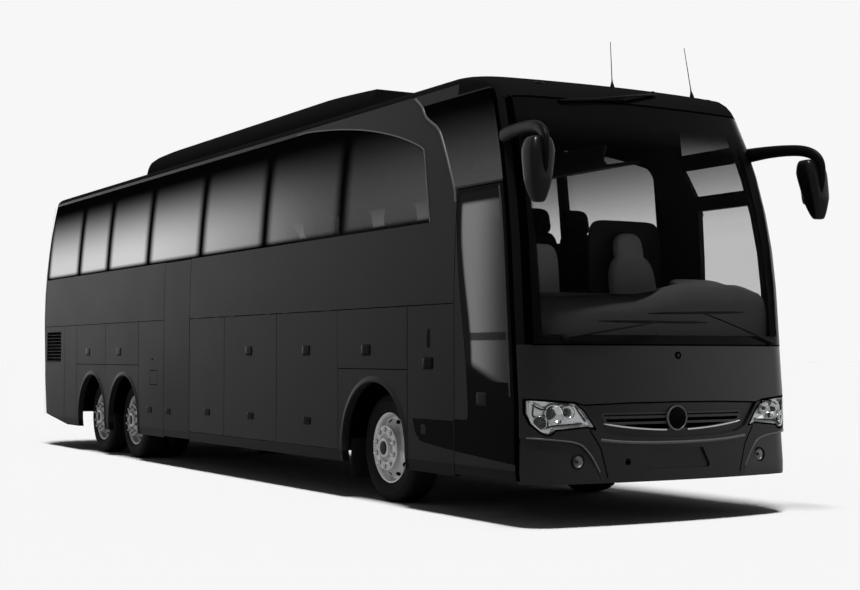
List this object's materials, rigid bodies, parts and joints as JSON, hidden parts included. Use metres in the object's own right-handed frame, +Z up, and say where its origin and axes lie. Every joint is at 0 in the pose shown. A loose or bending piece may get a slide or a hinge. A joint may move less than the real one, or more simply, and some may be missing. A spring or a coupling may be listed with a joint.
{
  "type": "touring coach",
  "caption": "High-floor touring coach on three axles with steered front wheels, outward-swinging doors, top-hinged luggage flaps and a rear engine lid.",
  "frame": {"origin": "on the ground, halfway along the length over the mirrors, on the middle plane", "axes": "+X forward, +Y to the coach's left, +Z up"},
  "size_m": [12.7692, 2.8474, 3.8],
  "materials": {
    "body_paint": "gloss",
    "glass": "gloss",
    "lamp": "gloss",
    "red_lamp": "gloss",
    "black_trim": "satin",
    "frame_steel": "satin",
    "engine_iron": "matte",
    "floor": "matte",
    "seat_fabric": "matte",
    "tyre": "matte",
    "rim": "polished"
  },
  "bodies": {
    "coach": {"side_wall_right": "body_paint", "side_wall_left": "body_paint", "lower_panels_right": "body_paint", "lower_panels_left": "body_paint", "side_louvres": "black_trim", "stairs": "floor", "side_glass": "glass", "roof": "body_paint", "front_cap": "body_paint", "roof_unit": "body_paint", "windscreen": "glass", "front_panel": "body_paint", "front_bumper": "body_paint", "front_lamps": "lamp", "grille": "black_trim", "rear_wall": "body_paint", "rear_glass": "glass", "tail_lamps": "red_lamp", "floor_deck": "floor", "luggage_bay": "floor", "subframes": "frame_steel", "engine": "engine_iron", "wheel_houses": "black_trim", "front_axle": "frame_steel", "drive_axle": "frame_steel", "tag_axle": "frame_steel", "seats": "seat_fabric", "racks": "floor", "dashboard": "floor", "mirrors": "black_trim", "wipers": "black_trim"},
    "knuckle_left": {"knuckle_left": "frame_steel"},
    "wheel_front_left": {"tyre_front_left": "tyre", "rim_front_left": "rim"},
    "wheels_drive_left": {"tyres_drive_left": "tyre", "rims_drive_left": "rim"},
    "wheel_tag_left": {"tyre_tag_left": "tyre", "rim_tag_left": "rim"},
    "knuckle_right": {"knuckle_right": "frame_steel"},
    "wheel_front_right": {"tyre_front_right": "tyre", "rim_front_right": "rim"},
    "wheels_drive_right": {"tyres_drive_right": "tyre", "rims_drive_right": "rim"},
    "wheel_tag_right": {"tyre_tag_right": "tyre", "rim_tag_right": "rim"},
    "steering_wheel": {"steering_wheel": "floor"},
    "luggage_flap_right_1": {"luggage_flap_right_1": "body_paint"},
    "luggage_flap_right_2": {"luggage_flap_right_2": "body_paint"},
    "luggage_flap_right_3": {"luggage_flap_right_3": "body_paint"},
    "luggage_flap_left_1": {"luggage_flap_left_1": "body_paint"},
    "luggage_flap_left_2": {"luggage_flap_left_2": "body_paint"},
    "luggage_flap_left_3": {"luggage_flap_left_3": "body_paint"},
    "engine_lid": {"engine_lid": "body_paint"},
    "front_door_arm": {"front_door_arm": "frame_steel"},
    "front_door": {"front_door": "body_paint", "front_door_glass": "glass"},
    "mid_door_arm": {"mid_door_arm": "frame_steel"},
    "mid_door": {"mid_door": "body_paint"}
  },
  "joints": [
    {"name": "steer_left", "type": "hinge", "parent": "coach", "child": "knuckle_left", "pos_m": [3.693, 0.86, 0.465], "axis": [0, 0, 1], "range_deg": [-45, 45]},
    {"name": "front_wheel_spin_left", "type": "hinge", "parent": "knuckle_left", "child": "wheel_front_left", "pos_m": [3.693, 0.986, 0.465], "axis": [0, 1, 0], "continuous": true},
    {"name": "drive_wheel_spin_left", "type": "hinge", "parent": "coach", "child": "wheels_drive_left", "pos_m": [-2.807, 0.986, 0.465], "axis": [0, 1, 0], "continuous": true},
    {"name": "tag_wheel_spin_left", "type": "hinge", "parent": "coach", "child": "wheel_tag_left", "pos_m": [-4.057, 0.986, 0.465], "axis": [0, 1, 0], "continuous": true},
    {"name": "steer_right", "type": "hinge", "parent": "coach", "child": "knuckle_right", "pos_m": [3.693, -0.86, 0.465], "axis": [0, 0, 1], "range_deg": [-45, 45]},
    {"name": "front_wheel_spin_right", "type": "hinge", "parent": "knuckle_right", "child": "wheel_front_right", "pos_m": [3.693, -0.986, 0.465], "axis": [0, 1, 0], "continuous": true},
    {"name": "drive_wheel_spin_right", "type": "hinge", "parent": "coach", "child": "wheels_drive_right", "pos_m": [-2.807, -0.986, 0.465], "axis": [0, 1, 0], "continuous": true},
    {"name": "tag_wheel_spin_right", "type": "hinge", "parent": "coach", "child": "wheel_tag_right", "pos_m": [-4.057, -0.986, 0.465], "axis": [0, 1, 0], "continuous": true},
    {"name": "steering_wheel_turn", "type": "hinge", "parent": "coach", "child": "steering_wheel", "pos_m": [5.44, 0.64, 1.56], "axis": [-0.5, 0, 0.866], "range_deg": [-720, 720]},
    {"name": "luggage_flap_right_1_hinge", "type": "hinge", "parent": "coach", "child": "luggage_flap_right_1", "pos_m": [-0.095, -1.275, 1.655], "axis": [-1, 0, 0], "range_deg": [0, 85]},
    {"name": "luggage_flap_right_2_hinge", "type": "hinge", "parent": "coach", "child": "luggage_flap_right_2", "pos_m": [1.0565, -1.275, 1.655], "axis": [-1, 0, 0], "range_deg": [0, 85]},
    {"name": "luggage_flap_right_3_hinge", "type": "hinge", "parent": "coach", "child": "luggage_flap_right_3", "pos_m": [2.37, -1.275, 1.655], "axis": [-1, 0, 0], "range_deg": [0, 85]},
    {"name": "luggage_flap_left_1_hinge", "type": "hinge", "parent": "coach", "child": "luggage_flap_left_1", "pos_m": [-0.095, 1.275, 1.655], "axis": [1, 0, 0], "range_deg": [0, 85]},
    {"name": "luggage_flap_left_2_hinge", "type": "hinge", "parent": "coach", "child": "luggage_flap_left_2", "pos_m": [1.0565, 1.275, 1.655], "axis": [1, 0, 0], "range_deg": [0, 85]},
    {"name": "luggage_flap_left_3_hinge", "type": "hinge", "parent": "coach", "child": "luggage_flap_left_3", "pos_m": [2.37, 1.275, 1.655], "axis": [1, 0, 0], "range_deg": [0, 85]},
    {"name": "engine_lid_hinge", "type": "hinge", "parent": "coach", "child": "engine_lid", "pos_m": [-6.37423, 0, 1.556], "axis": [0, 1, 0], "range_deg": [0, 80]},
    {"name": "front_door_swing", "type": "hinge", "parent": "coach", "child": "front_door_arm", "pos_m": [5.64, -1.12, 1.4], "axis": [0, 0, 1], "range_deg": [0, 115]},
    {"name": "front_door_turn", "type": "hinge", "parent": "front_door_arm", "child": "front_door", "pos_m": [5.16, -1.12, 1.4], "axis": [0, 0, 1], "range_deg": [-115, 0]},
    {"name": "mid_door_swing", "type": "hinge", "parent": "coach", "child": "mid_door_arm", "pos_m": [-1.25, -1.12, 1.3], "axis": [0, 0, -1], "range_deg": [0, 115]},
    {"name": "mid_door_turn", "type": "hinge", "parent": "mid_door_arm", "child": "mid_door", "pos_m": [-0.77, -1.12, 1.3], "axis": [0, 0, -1], "range_deg": [-115, 0]}
  ],
  "couplings": [
    {"joint": "steer_right", "follows": "steer_left", "ratio": 1},
    {"joint": "steering_wheel_turn", "follows": "steer_left", "ratio": 16},
    {"joint": "front_door_turn", "follows": "front_door_swing", "ratio": -1},
    {"joint": "mid_door_turn", "follows": "mid_door_swing", "ratio": -1}
  ]
}
